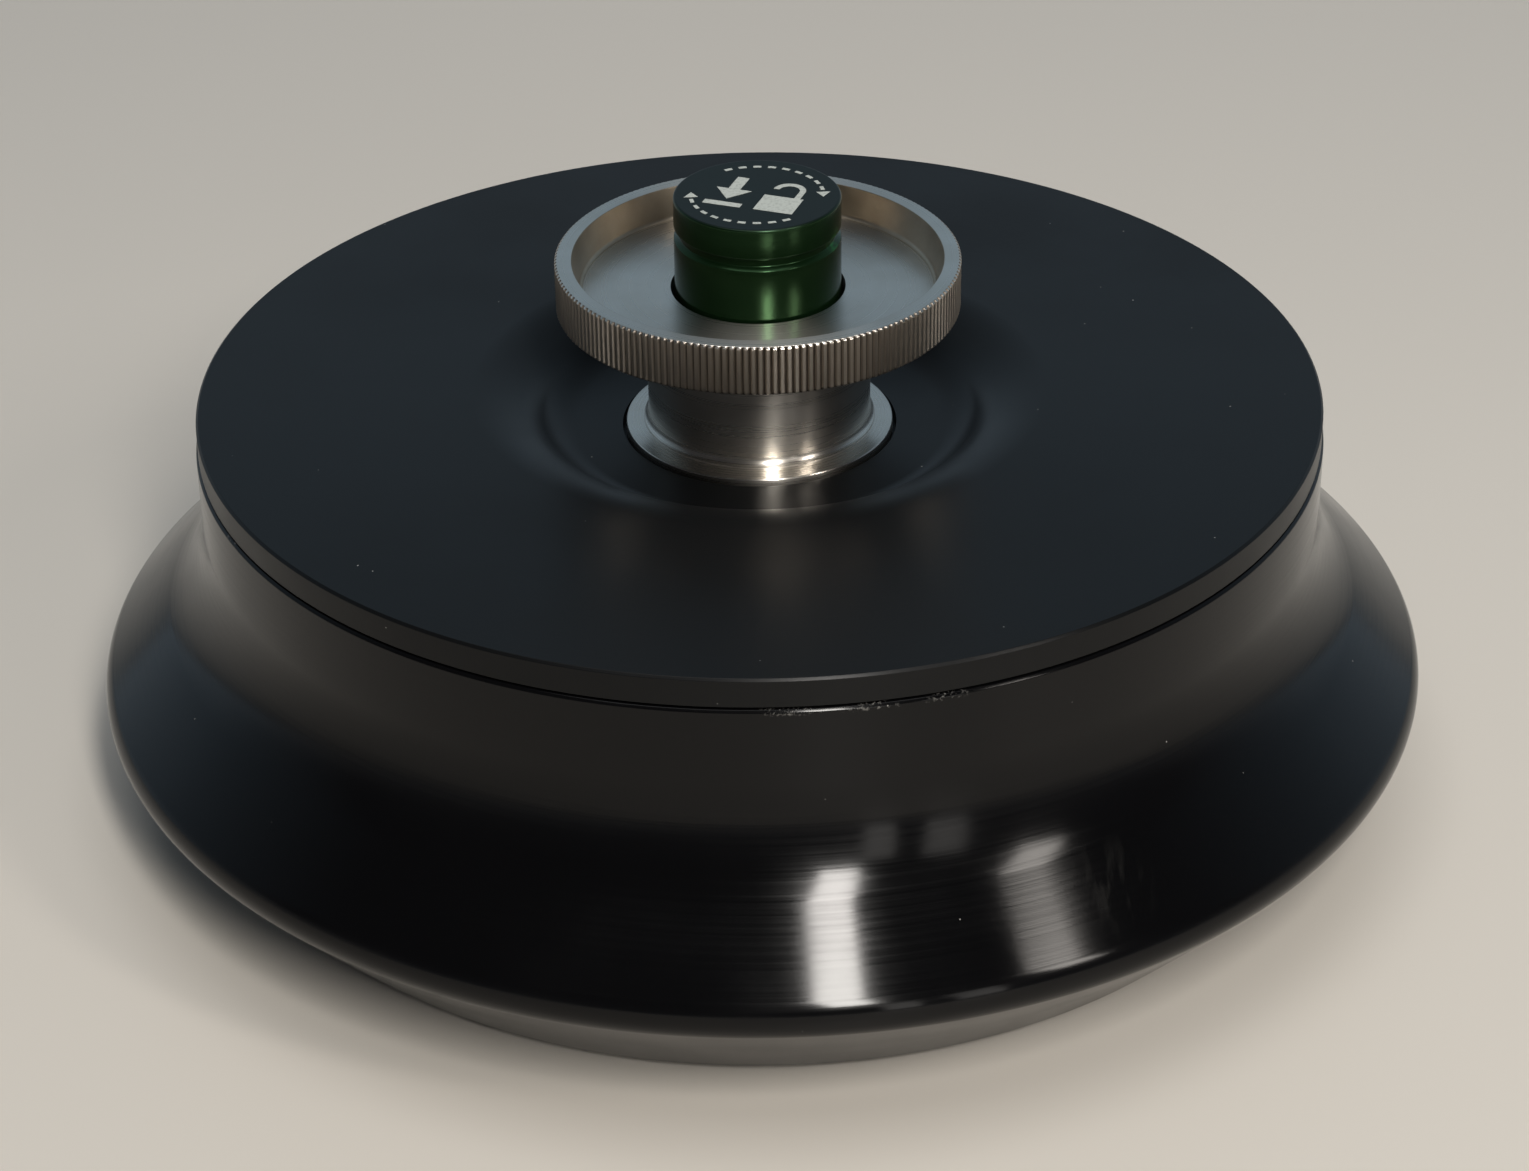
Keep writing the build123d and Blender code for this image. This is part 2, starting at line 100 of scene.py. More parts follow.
# The room is pale at the horizon all round. Above that it is a blue-grey wall behind the
# rotor, and a dim ceiling on the camera's side.
world = bpy.data.worlds.new("room")
scene.world = world
world.use_nodes = True
tree = world.node_tree
tree.nodes.clear()
way = add_node(tree, "TexCoord", {})
part = add_node(tree, "SeparateXYZ", {0: way.outputs["Generated"]})
sides = []
for stops in (
    ((0.0, "#8F9092"), (0.14, "#45464A"), (0.5, "#303032"), (0.9, "#2A2A2A")),
    ((0.0, "#9FB0BD"), (0.3, "#8C9FAE"), (0.5, "#8396A4"), (0.9, "#55585B")),
):
    side = add_node(tree, "ValToRGB", {0: part.outputs["Z"]})
    ramp = side.color_ramp.elements
    ramp[0].position, ramp[0].color = stops[0][0], linear(stops[0][1])
    ramp[1].position, ramp[1].color = stops[-1][0], linear(stops[-1][1])
    for height, colour in stops[1:-1]:
        ramp.new(height).color = linear(colour)
    sides.append(side)
behind = add_node(tree, "MapRange", {"Value": part.outputs["Y"], 1: -0.15, 2: 0.45})
room = add_node(
    tree,
    "Mix",
    {0: behind.outputs[0], 6: sides[0].outputs[0], 7: sides[1].outputs[0]},
    data_type="RGBA",
)
light = add_node(tree, "Background", {"Color": room.outputs[2], "Strength": 1.0})
add_node(tree, "OutputWorld", {"Surface": light.outputs[0]})


def hang_lamp(name, azimuth, elevation, distance, width, height, radiance, colour):
    """A flat rectangular lamp that faces the rotor. Azimuth 0 is the camera's side."""
    a, e = radians(azimuth), radians(elevation)
    place = Vector((sin(a) * cos(e), -cos(a) * cos(e), sin(e))) * distance
    lamp = bpy.data.lights.new(name, "AREA")
    lamp.shape, lamp.size, lamp.size_y = "RECTANGLE", width, height
    lamp.energy = radiance * 4 * width * height
    lamp.color = linear(colour)[:3]
    holder = bpy.data.objects.new(name, lamp)
    holder.location = place
    holder.rotation_euler = (-place).to_track_quat("-Z", "Y").to_euler()
    holder.visible_camera = False
    scene.collection.objects.link(holder)


hang_lamp("near_window", 13.6, 43.0, 1.6, 0.17, 0.70, 38.0, "#FFFBF5")
hang_lamp("far_window", 52.3, 37.5, 1.6, 0.20, 0.42, 14.0, "#FFF8F0")
hang_lamp("low_window_near", 20.2, 14.0, 1.6, 0.15, 0.60, 1.8, "#FFFAF4")
hang_lamp("low_window_far", 32.3, 15.5, 1.6, 0.20, 0.60, 1.7, "#FFFAF4")
hang_lamp("ceiling_lamp", 0.0, 86.0, 1.7, 1.3, 1.3, 1.4, "#FFFFFF")

camera_place = (0.0, -0.5665, 0.3684)
camera_pitch, camera_yaw, camera_roll = radians(30.674), radians(0.052), radians(-0.622)
forward = Vector(
    (
        sin(camera_yaw) * cos(camera_pitch),
        cos(camera_yaw) * cos(camera_pitch),
        -sin(camera_pitch),
    )
)
level = Vector((cos(camera_yaw), -sin(camera_yaw), 0))
upright = level.cross(forward)
right = level * cos(camera_roll) + upright * sin(camera_roll)
up = upright * cos(camera_roll) - level * sin(camera_roll)
camera = bpy.data.objects.new("camera", bpy.data.cameras.new("camera"))
camera.data.sensor_width = 36.0
camera.data.lens = 90.51
camera.data.clip_start, camera.data.clip_end = 0.01, 50.0
camera.matrix_world = Matrix(
    (
        (right.x, up.x, -forward.x, camera_place[0]),
        (right.y, up.y, -forward.y, camera_place[1]),
        (right.z, up.z, -forward.z, camera_place[2]),
        (0, 0, 0, 1),
    )
)
scene.collection.objects.link(camera)
scene.camera = camera

# ------------------------------------------------------------ rotor body
# The body is one aluminium forging, turned all over and bored for thirty tubes that lean
# 45 degrees outwards, then hard anodised black. It weighs most of the rotor's 4.5 kg.
MM = 0.001
turning_steps, hole_steps = 288, 40  # facets round a turned face and round a hole
arc_step = 3.0  # degrees of an arc to each facet
sharp_angle = radians(35)
edge_break = 0.4  # chamfer on turned edges


def draw_section(mesh, start, strokes, edge, close=True):
    """Draws a half section of (radius, height) in mm with its sharp corners eased by edge.
    A stroke (r, z) runs straight to there; (r, z, turn) is an arc about (r, z), + clockwise."""
    first = bmesh.ops.create_vert(mesh, co=(start[0] * MM, 0, start[1] * MM))["vert"][0]
    pen, corners, was_straight = first, [], False
    for stroke in strokes:
        if len(stroke) == 2:
            if was_straight:
                corners.append(pen)
            pen = bmesh.ops.extrude_vert_indiv(mesh, verts=[pen])["verts"][0]
            pen.co = (stroke[0] * MM, 0, stroke[1] * MM)
            was_straight = True
        else:
            spun = bmesh.ops.spin(
                mesh,
                geom=[pen],
                cent=(stroke[0] * MM, 0, stroke[1] * MM),
                axis=(0, 1, 0),
                angle=radians(stroke[2]),
                steps=max(4, ceil(abs(stroke[2]) / arc_step)),
            )
            pen = next(g for g in spun["geom_last"] if isinstance(g, bmesh.types.BMVert))
            was_straight = False
    if close:
        bmesh.ops.contextual_create(mesh, geom=[pen, first])
        corners += [first] + [pen] * was_straight
    if edge:
        bmesh.ops.bevel(
            mesh,
            geom=corners,
            offset=edge * MM,
            segments=3,
            profile=0.5,
            affect="VERTICES",
            clamp_overlap=True,
            material=-1,
        )


def turn_up(mesh, steps):
    """Spins all that is drawn about the axis into a closed skin."""
    bmesh.ops.spin(
        mesh,
        geom=mesh.verts[:] + mesh.edges[:],
        cent=(0, 0, 0),
        axis=(0, 0, 1),
        angle=2 * pi,
        steps=steps,
        use_merge=True,
    )
    bmesh.ops.remove_doubles(mesh, verts=mesh.verts[:], dist=1e-6)
    bmesh.ops.recalc_face_normals(mesh, faces=mesh.faces[:])


def repeat_round(mesh, count):
    """Copies all that is in the mesh to an even ring of places about the axis."""
    bmesh.ops.spin(
        mesh,
        geom=mesh.verts[:] + mesh.edges[:] + mesh.faces[:],
        cent=(0, 0, 0),
        axis=(0, 0, 1),
        angle=2 * pi * (count - 1) / count,
        steps=count - 1,
        use_duplicate=True,
    )


def cut_away(mesh, cutter):
    """Takes the cutter's closed shapes out of the mesh, and returns the cut mesh."""
    shapes = []
    for source in (mesh, cutter):
        shape = bpy.data.objects.new("blank", bpy.data.meshes.new("blank"))
        source.to_mesh(shape.data)
        source.free()
        scene.collection.objects.link(shape)
        shapes.append(shape)
    blank, tool = shapes
    cut = blank.modifiers.new("cut", "BOOLEAN")
    cut.operation, cut.solver, cut.object = "DIFFERENCE", "EXACT", tool
    done = bmesh.new()
    done.from_object(blank, bpy.context.evaluated_depsgraph_get())
    for shape in shapes:
        bpy.data.objects.remove(shape)
    bmesh.ops.remove_doubles(done, verts=done.verts[:], dist=1e-7)
    return done


def make_piece(name, mesh, body, nodes, finish):
    """The mesh as a smooth-shaded piece that rides on a body in place of its CAD nodes."""
    piece = bpy.data.objects.new(name, bpy.data.meshes.new(name))
    mesh.to_mesh(piece.data)
    mesh.free()
    piece.data.materials.append(finish)
    scene.collection.objects.link(piece)
    piece.data.shade_smooth()
    piece.data.set_sharp_from_angle(angle=sharp_angle)
    even = piece.modifiers.new("even shading", "WEIGHTED_NORMAL")
    even.keep_sharp = True
    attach(piece, body)
    if nodes:
        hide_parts(*nodes)
    return piece


rim_r, rim_z, nose_r, nose_turn = 112.0, 23.1, 4.5, 88.0
wall_r, cove_r, cove_z, flank_lean = 93.35, 24.0, 53.555, 45.0
body_top, seat_z, seat_r = 66.4, 66.8, 90.55
bowl_r, ledge_z, bowl_floor_z = 86.5, 59.0, 22.0
slope_foot_r, slope_foot_arc = 44.761, 5.0
cone_foot_r, foot_height, foot_r, foot_inner_r = 93.791, 1.8, 86.0, 79.0
recess_z, hub_seat_z, hub_seat_r, column_hole_r = 3.5, 11.5, 36.3, 24.02
mouth_r, mouth_z, mouth_chamfer = 71.716, 46.884, 0.5
tube_r, tube_depth, tube_tip_r = 5.55, 40.0, 1.5
tube_count, tube_lean = 30, radians(45)

mesh = bmesh.new()
draw_section(
    mesh,
    (column_hole_r, hub_seat_z),
    [
        (column_hole_r, bowl_floor_z),
        (slope_foot_r, bowl_floor_z),
        (slope_foot_r, bowl_floor_z + slope_foot_arc, -flank_lean),
        (mouth_r + ledge_z - mouth_z, ledge_z),
        (bowl_r, ledge_z),
        (bowl_r, seat_z - edge_break),
        (bowl_r + edge_break, seat_z),
        (seat_r, seat_z),
        (seat_r, body_top),
        (wall_r - edge_break, body_top),
        (wall_r, body_top - edge_break),
        (wall_r, cove_z),
        (wall_r + cove_r, cove_z, -flank_lean),
        (
            rim_r - nose_r * (1 - cos(radians(flank_lean))),
            rim_z + nose_r * sin(radians(flank_lean)),
        ),
        (rim_r - nose_r, rim_z, nose_turn),
        (cone_foot_r, foot_height),
        (foot_r, foot_height),
        (foot_r, 0.0),
        (foot_inner_r, 0.0),
        (foot_inner_r, recess_z),
        (hub_seat_r, recess_z),
        (hub_seat_r, hub_seat_z),
    ],
    0.12,
)
turn_up(mesh, turning_steps)
bores = bmesh.new()
draw_section(
    bores,
    (0, mouth_chamfer),
    [
        (tube_r + 2 * mouth_chamfer, mouth_chamfer),
        (tube_r, -mouth_chamfer),
        (tube_r, tube_r - tube_tip_r - tube_depth),
        (tube_tip_r, -tube_depth),
        (0, -tube_depth),
    ],
    0,
    close=False,
)
turn_up(bores, hole_steps)
bmesh.ops.rotate(bores, verts=bores.verts[:], matrix=Matrix.Rotation(-tube_lean, 3, "Y"))
bmesh.ops.translate(bores, verts=bores.verts[:], vec=(mouth_r * MM, 0, mouth_z * MM))
repeat_round(bores, tube_count)
bored = cut_away(mesh, bores)


def lathe_lines(tree, pitch):
    """Places on the surface, their height, and a pattern of fine rings at a pitch in mm."""
    place = add_node(tree, "TexCoord", {})
    flat = add_node(
        tree, "VectorMath", {0: place.outputs["Object"], 1: (1, 1, 0)}, operation="MULTIPLY"
    )
    radius = add_node(tree, "VectorMath", {0: flat.outputs[0]}, operation="LENGTH")
    height = add_node(tree, "SeparateXYZ", {0: place.outputs["Object"]})
    across = add_node(
        tree, "CombineXYZ", {0: radius.outputs["Value"], 2: height.outputs["Z"]}
    )
    lines = add_node(
        tree,
        "TexNoise",
        {"Vector": across.outputs[0], "Scale": 1 / (pitch * MM), "Detail": 2.0},
    )
    return place.outputs["Object"], height.outputs["Z"], lines.outputs[0]


def worn_spot(tree, place, ragged, centre, size):
    """1 inside a ragged patch round a centre, both in mm, fading to 0 at its edge."""
    away = add_node(
        tree, "VectorMath", {0: place, 1: [c * MM for c in centre]}, operation="DISTANCE"
    )
    near = add_node(
        tree,
        "MapRange",
        {"Value": away.outputs["Value"], 1: size * MM, 2: 0.2 * size * MM, 3: 0.0, 4: 1.0},
    )
    patch = add_node(tree, "Math", {0: near.outputs[0], 1: ragged}, operation="MULTIPLY")
    return patch.outputs[0]


# Hard anodic film, dyed black: a thin hard glass-like skin. Fine turning draws its gloss out
# up and down, and chips, a rubbed patch and specks show pale metal and dust.
black_gloss, tree = new_finish("hard anodised aluminium, turned and dyed black")
# The real cut is nearer 0.15 mm, too fine to show, so it is drawn at 0.6 mm.
place, height, lines = lathe_lines(tree, 0.6)
smears = add_node(tree, "TexNoise", {"Vector": place, "Scale": 1 / (16 * MM), "Detail": 4.0})
uneven = add_node(tree, "Math", {0: smears.outputs[0], 1: lines}, operation="ADD")
gloss = add_node(
    tree, "MapRange", {"Value": uneven.outputs[0], 1: 0.75, 2: 1.3, 3: 0.11, 4: 0.2}
)
crumbs = add_node(tree, "TexNoise", {"Vector": place, "Scale": 1 / (0.5 * MM), "Detail": 3.0})
chipped = add_node(
    tree, "MapRange", {"Value": crumbs.outputs[0], 1: 0.54, 2: 0.68, 3: 0.0, 4: 0.32}
)
# The corner is where height and distance from the axis are both near their greatest.
outward = add_node(tree, "VectorMath", {0: place, 1: (1, 1, 0)}, operation="MULTIPLY")
from_axis = add_node(tree, "VectorMath", {0: outward.outputs[0]}, operation="LENGTH")
corner = add_node(tree, "Math", {0: from_axis.outputs["Value"], 1: height}, operation="ADD")
top_edge = add_node(
    tree,
    "MapRange",
    {
        "Value": corner.outputs[0],
        1: (wall_r + body_top - 1.0) * MM,
        2: (wall_r + body_top - 0.6) * MM,
        3: 0.0,
        4: 1.0,
    },
)
edge_chips = add_node(
    tree, "Math", {0: chipped.outputs[0], 1: top_edge.outputs[0]}, operation="MULTIPLY"
)
marks = [
    worn_spot(tree, place, edge_chips.outputs[0], (x, y, body_top), size)
    for x, y, size in ((4, -93, 5), (16, -92, 5), (27, -89, 4), (-84, -41, 3))
]
drag = add_node(
    tree, "Mapping", {0: place, "Rotation": (0.3, -0.5, 0.55), "Scale": (1, 0.25, 0.25)}
)
hairs = add_node(
    tree, "TexNoise", {"Vector": drag.outputs[0], "Scale": 1 / (1.6 * MM), "Detail": 6.0}
)
scratched = add_node(
    tree, "MapRange", {"Value": hairs.outputs[0], 1: 0.52, 2: 0.78, 3: 0.0, 4: 0.03}
)
marks.append(worn_spot(tree, place, scratched.outputs[0], (53, -92, 34), 9))
dust = add_node(tree, "TexVoronoi", {"Vector": place, "Scale": 1 / (7 * MM)})
specks = add_node(
    tree, "MapRange", {"Value": dust.outputs["Distance"], 1: 0.022, 2: 0.012, 3: 0.0, 4: 0.6}
)
wear = specks.outputs[0]
for mark in marks:
    wear = add_node(tree, "Math", {0: wear, 1: mark}, operation="MAXIMUM").outputs[0]
tone = add_node(
    tree,
    "Mix",
    {0: wear, 6: linear("#070708"), 7: linear("#A9A7A2")},
    data_type="RGBA",
)
grooves = add_node(tree, "Bump", {"Strength": 0.12, "Distance": 0.1 * MM, "Height": lines})
round_axis = add_node(tree, "Tangent", {}, direction_type="RADIAL", axis="Z")
surface = add_node(
    tree,
    "BsdfPrincipled",
    {
        "Base Color": tone.outputs[2],
        "Roughness": gloss.outputs[0],
        "Anisotropic": 0.75,
        "Anisotropic Rotation": 0.25,
        "Tangent": round_axis.outputs[0],
        "Normal": grooves.outputs[0],
        "IOR": 1.5,
        "Specular IOR Level": 0.22,
    },
)
add_node(tree, "OutputMaterial", {"Surface": surface.outputs[0]})
make_piece("turned_body", bored, "rotor", ["rotor_body"], black_gloss)

# ------------------------------------------------------------ place numbers
# Each tube place has its number engraved above its mouth and filled with white paint, so that
# loads can be set opposite each other. The paint stands a hair above the anodised face.
digit_height, paint_thickness = 3.4, 0.04
number_rise = 10.6  # up the face from the bore's axis to the middle of the digits


def white_paint(name, colour):
    """Matt white filling paint, greyed a little where handling has worn it thin."""
    material, tree = new_finish(name)
    place = add_node(tree, "TexCoord", {})
    grime = add_node(
        tree,
        "TexNoise",
        {"Vector": place.outputs["Object"], "Scale": 1 / (0.5 * MM), "Detail": 4.0},
    )
    worn = add_node(
        tree, "MapRange", {"Value": grime.outputs[0], 1: 0.48, 2: 0.72, 3: 0.0, 4: 0.55}
    )
    tone = add_node(
        tree,
        "Mix",
        {0: worn.outputs[0], 6: linear(colour), 7: linear("#7C817C")},
        data_type="RGBA",
    )
    surface = add_node(
        tree, "BsdfPrincipled", {"Base Color": tone.outputs[2], "Roughness": 0.6}
    )
    add_node(tree, "OutputMaterial", {"Surface": surface.outputs[0]})
    return material


mesh = bmesh.new()
for number in range(tube_count):
    text = bpy.data.curves.new("digits", "FONT")
    text.body = str(number + 1)
    text.size = digit_height * MM
    text.align_x, text.align_y = "CENTER", "CENTER"
    text.extrude = paint_thickness / 2 * MM
    text.resolution_u = 4
    holder = bpy.data.objects.new("digits", text)
    digits = bpy.data.meshes.new_from_object(holder)
    reach = (mouth_r + number_rise * cos(tube_lean)) * MM
    rise = (mouth_z + number_rise * sin(tube_lean)) * MM
    across, along = cos(tube_lean), sin(tube_lean)
    face = Matrix(
        ((0, across, -along, reach), (-1, 0, 0, 0), (0, along, across, rise), (0, 0, 0, 1))
    )
    digits.transform(Matrix.Rotation(2 * pi * number / tube_count, 4, "Z") @ face)
    mesh.from_mesh(digits)
    bpy.data.meshes.remove(digits)
    bpy.data.objects.remove(holder)
    bpy.data.curves.remove(text)
bmesh.ops.remove_doubles(mesh, verts=mesh.verts[:], dist=1e-7)
bmesh.ops.recalc_face_normals(mesh, faces=mesh.faces[:])
number_paint = white_paint("epoxy filling paint, white", "#D9D8D2")
make_piece("place_numbers", mesh, "rotor", [], number_paint)

# ------------------------------------------------------------ rotor identity magnets
# Four nickel-plated magnets are glued into the underside. The centrifuge counts them with a
# sensor and so knows the rotor's speed limit. They keep their CAD shape.


def dress(nodes, finish):
    """Gives CAD nodes a finish."""
    for node in nodes:
        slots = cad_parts[node].data.materials
        slots.clear()
        slots.append(finish)


# Bright nickel plate with the soft unevenness of a barrel-plated part.
nickel, tree = new_finish("nickel plate")
place = add_node(tree, "TexCoord", {})
haze = add_node(
    tree,
    "TexNoise",
    {"Vector": place.outputs["Object"], "Scale": 1 / (1.5 * MM), "Detail": 3.0},
)
dull = add_node(tree, "MapRange", {"Value": haze.outputs[0], 1: 0.3, 2: 0.7, 3: 0.16, 4: 0.3})
surface = add_node(
    tree,
    "BsdfPrincipled",
    {"Base Color": linear("#C6C0B2"), "Metallic": 1.0, "Roughness": dull.outputs[0]},
)
add_node(tree, "OutputMaterial", {"Surface": surface.outputs[0]})
dress(["rotor_id_magnets"], nickel)

# ------------------------------------------------------------ hub
# The hub is turned from stainless bar, with its flange drilled for six screws and two pins.
# The lid thread is cut on its stud. An O-ring seals it to the body.
sleeve_seat_r, sleeve_flange_seat_r, sleeve_flange_top = 15.02, 18.52, 6.9
flange_r, column_r, hub_groove_r = 36.0, 24.0, 21.5
hub_groove_bottom, hub_groove_top = 15.45, 18.15
collar_r, collar_top, shoulder_r, shoulder_z = 22.0, 40.0, 18.5, 52.0
stud_root_r, stud_crest_r, stud_top, stud_chamfer = 14.03, 14.95, 78.0, 0.8
spring_pocket_r, spring_floor_z, bush_hole_r, chamber_top = 10.5, 58.0, 6.02, 42.0
thread_bottom, thread_top, thread_pitch = 53.2, 76.6, 1.5
ridge_width, ridge_flank, ridge_sink = 1.4, 0.6, 0.15
screw_ring_r, pin_ring_r, screw_count, pin_count = 30.0, 22.4, 6, 2
head_hole_r, screw_seat_z, shank_hole_r = 3.58, 8.3, 2.08
pin_hole_r, pin_hole_top, cutter_bottom = 2.02, 10.0, 3.0

mesh = bmesh.new()
draw_section(
    mesh,
    (sleeve_seat_r, chamber_top),
    [
        (sleeve_seat_r, sleeve_flange_top),
        (sleeve_flange_seat_r, sleeve_flange_top),
        (sleeve_flange_seat_r, recess_z),
        (flange_r - edge_break, recess_z),
        (flange_r, recess_z + edge_break),
        (flange_r, hub_seat_z),
        (column_r, hub_seat_z),
        (column_r, hub_groove_bottom),
        (hub_groove_r, hub_groove_bottom),
        (hub_groove_r, hub_groove_top),
        (column_r, hub_groove_top),
        (column_r, bowl_floor_z),
        (collar_r, bowl_floor_z + column_r - collar_r),
        (collar_r, collar_top),
        (shoulder_r, shoulder_z - 2 * edge_break),
        (shoulder_r, shoulder_z),
        (stud_crest_r, shoulder_z),
        (stud_crest_r, thread_bottom - 0.6),
        (stud_root_r, thread_bottom + 0.2),
        (stud_root_r, thread_top + 0.2),
        (stud_crest_r - stud_chamfer, stud_top),
        (spring_pocket_r, stud_top),
        (spring_pocket_r, spring_floor_z),
        (bush_hole_r, spring_floor_z),
        (bush_hole_r, chamber_top),
    ],
    0.1,
)
turn_up(mesh, 160)
holes = bmesh.new()
draw_section(
    holes,
    (0, cutter_bottom),
    [
        (head_hole_r, cutter_bottom),
        (head_hole_r, screw_seat_z),
        (shank_hole_r, screw_seat_z),
        (shank_hole_r, hub_seat_z + 0.5),
        (0, hub_seat_z + 0.5),
    ],
    0,
    close=False,
)
turn_up(holes, hole_steps)
bmesh.ops.translate(holes, verts=holes.verts[:], vec=(screw_ring_r * MM, 0, 0))
repeat_round(holes, screw_count)
sockets = bmesh.new()
draw_section(
    sockets,
    (0, cutter_bottom),
    [(pin_hole_r, cutter_bottom), (pin_hole_r, pin_hole_top), (0, pin_hole_top)],
    0,
    close=False,
)
turn_up(sockets, 32)
bmesh.ops.translate(sockets, verts=sockets.verts[:], vec=(0, pin_ring_r * MM, 0))
repeat_round(sockets, pin_count)
drilled = cut_away(cut_away(mesh, holes), sockets)
# The thread is a ridge wound up the stud, its foot sunk in the core.
ridge = bmesh.new()
draw_section(
    ridge,
    (stud_root_r - ridge_sink, thread_bottom),
    [
        (stud_crest_r, thread_bottom + ridge_flank),
        (stud_crest_r, thread_bottom + ridge_width - ridge_flank),
        (stud_root_r - ridge_sink, thread_bottom + ridge_width),
    ],
    0,
)
turns, steps_a_turn = (thread_top - thread_bottom - ridge_width) / thread_pitch, 96
bmesh.ops.contextual_create(ridge, geom=ridge.edges[:])
wound = bmesh.ops.spin(
    ridge,
    geom=ridge.verts[:] + ridge.edges[:],
    cent=(0, 0, 0),
    axis=(0, 0, 1),
    dvec=(0, 0, thread_pitch * MM / steps_a_turn),
    angle=2 * pi * turns,
    steps=round(turns * steps_a_turn),
)
bmesh.ops.contextual_create(
    ridge, geom=[g for g in wound["geom_last"] if isinstance(g, bmesh.types.BMEdge)]
)
bmesh.ops.recalc_face_normals(ridge, faces=ridge.faces[:])
thread = bpy.data.meshes.new("thread")
ridge.to_mesh(thread)
ridge.free()
drilled.from_mesh(thread)
bpy.data.meshes.remove(thread)


def turned_metal(name, colour, streak, roughness, cut_pitch, anisotropy):
    """Bare metal off the lathe: fine rings that draw its highlights out across the cut."""
    material, tree = new_finish(name)
    place, _, rings = lathe_lines(tree, cut_pitch)
    # The noise mottles the colour towards the streak colour: real stains on the bar and steel,
    # and a painted reflection's streaks on the knob's dish wall.
    stains_and_painted_streaks = add_node(
        tree, "TexNoise", {"Vector": place, "Scale": 1 / (7 * MM), "Detail": 5.0}
    )
    tint = add_node(
        tree,
        "Mix",
        {0: stains_and_painted_streaks.outputs[0], 6: linear(colour), 7: linear(streak)},
        data_type="RGBA",
    )
    dull = add_node(
        tree,
        "MapRange",
        {"Value": rings, 1: 0.3, 2: 0.7, 3: roughness - 0.02, 4: roughness + 0.03},
    )
    feed = add_node(tree, "Bump", {"Strength": 0.02, "Distance": 0.04 * MM, "Height": rings})
    round_axis = add_node(tree, "Tangent", {}, direction_type="RADIAL", axis="Z")
    surface = add_node(
        tree,
        "BsdfPrincipled",
        {
            "Base Color": tint.outputs[2],
            "Metallic": 1.0,
            "Roughness": dull.outputs[0],
            "Anisotropic": anisotropy,
            "Anisotropic Rotation": 0.25,
            "Tangent": round_axis.outputs[0],
            "Normal": feed.outputs[0],
        },
    )
    add_node(tree, "OutputMaterial", {"Surface": surface.outputs[0]})
    return material


# Warm grey stainless steel, whose fine turning draws each highlight out up and down. The real
# cut is nearer 0.1 mm, too fine to show, so it is drawn at 0.3 mm.
stainless = turned_metal("stainless steel bar, turned", "#DCD8D2", "#C6BFB4", 0.28, 0.3, 0.85)
make_piece("threaded_hub", drilled, "rotor", ["hub"], stainless)

# Moulded nitrile rubber: dull black with a faint bloom of talc.
nitrile, tree = new_finish("nitrile rubber, moulded")
place = add_node(tree, "TexCoord", {})
bloom = add_node(
    tree,
    "TexNoise",
    {"Vector": place.outputs["Object"], "Scale": 1 / (1.2 * MM), "Detail": 5.0},
)
tone = add_node(
    tree,
    "Mix",
    {0: bloom.outputs[0], 6: linear("#121213"), 7: linear("#2C2C2D")},
    data_type="RGBA",
)
dull = add_node(tree, "MapRange", {"Value": bloom.outputs[0], 3: 0.45, 4: 0.75})
surface = add_node(
    tree,
    "BsdfPrincipled",
    {"Base Color": tone.outputs[2], "Roughness": dull.outputs[0], "Specular IOR Level": 0.35},
)
add_node(tree, "OutputMaterial", {"Surface": surface.outputs[0]})
dress(["hub_seal"], nitrile)

# ------------------------------------------------------------ lock sleeve and drive pins
# The sleeve centres the drive spindle and its top edge holds the claws. The pins take the
# drive. Both are tool steel, hardened and ground, and keep their CAD shapes.
# Ground hard steel: darker and bluer than the stainless, with a finer closer gloss. Its
# grinding lines are drawn at 0.2 mm, coarser than the real ones, so that they show.
hard_steel = turned_metal("hardened steel, ground", "#A2A3A6", "#8A8780", 0.22, 0.2, 0.6)
dress(["lock_sleeve", "drive_pins"], hard_steel)

# ------------------------------------------------------------ hub screws
# Six M4 socket-head screws hold the hub up against the body. Their heads are cold formed,
# with a chamfered edge and a hexagon socket, and sit sunk in the hub's flange.
head_r, head_bottom, shank_r, screw_tip = 3.5, 4.3, 2.0, 18.3
hex_key, socket_depth = 3.0, 2.0

mesh = bmesh.new()
draw_section(
    mesh,
    (0, head_bottom),
    [
        (head_r - edge_break, head_bottom),
        (head_r, head_bottom + edge_break),
        (head_r, screw_seat_z),
        (shank_r, screw_seat_z),
        (shank_r, screw_tip - edge_break),
        (shank_r - edge_break, screw_tip),
        (0, screw_tip),
    ],
    0.08,
    close=False,
)
turn_up(mesh, 48)
hexagon = bmesh.new()
bmesh.ops.create_circle(
    hexagon, cap_ends=True, segments=6, radius=hex_key / 2 / cos(pi / 6) * MM
)
drawn = bmesh.ops.extrude_face_region(hexagon, geom=hexagon.faces[:])
top = [g for g in drawn["geom"] if isinstance(g, bmesh.types.BMVert)]
bmesh.ops.translate(hexagon, verts=top, vec=(0, 0, (socket_depth + 0.5) * MM))
bmesh.ops.translate(hexagon, verts=hexagon.verts[:], vec=(0, 0, (head_bottom - 0.5) * MM))
bmesh.ops.recalc_face_normals(hexagon, faces=hexagon.faces[:])
socketed = cut_away(mesh, hexagon)
bmesh.ops.translate(socketed, verts=socketed.verts[:], vec=(screw_ring_r * MM, 0, 0))
repeat_round(socketed, screw_count)
make_piece("socket_head_screws", socketed, "rotor", ["hub_screws"], stainless)

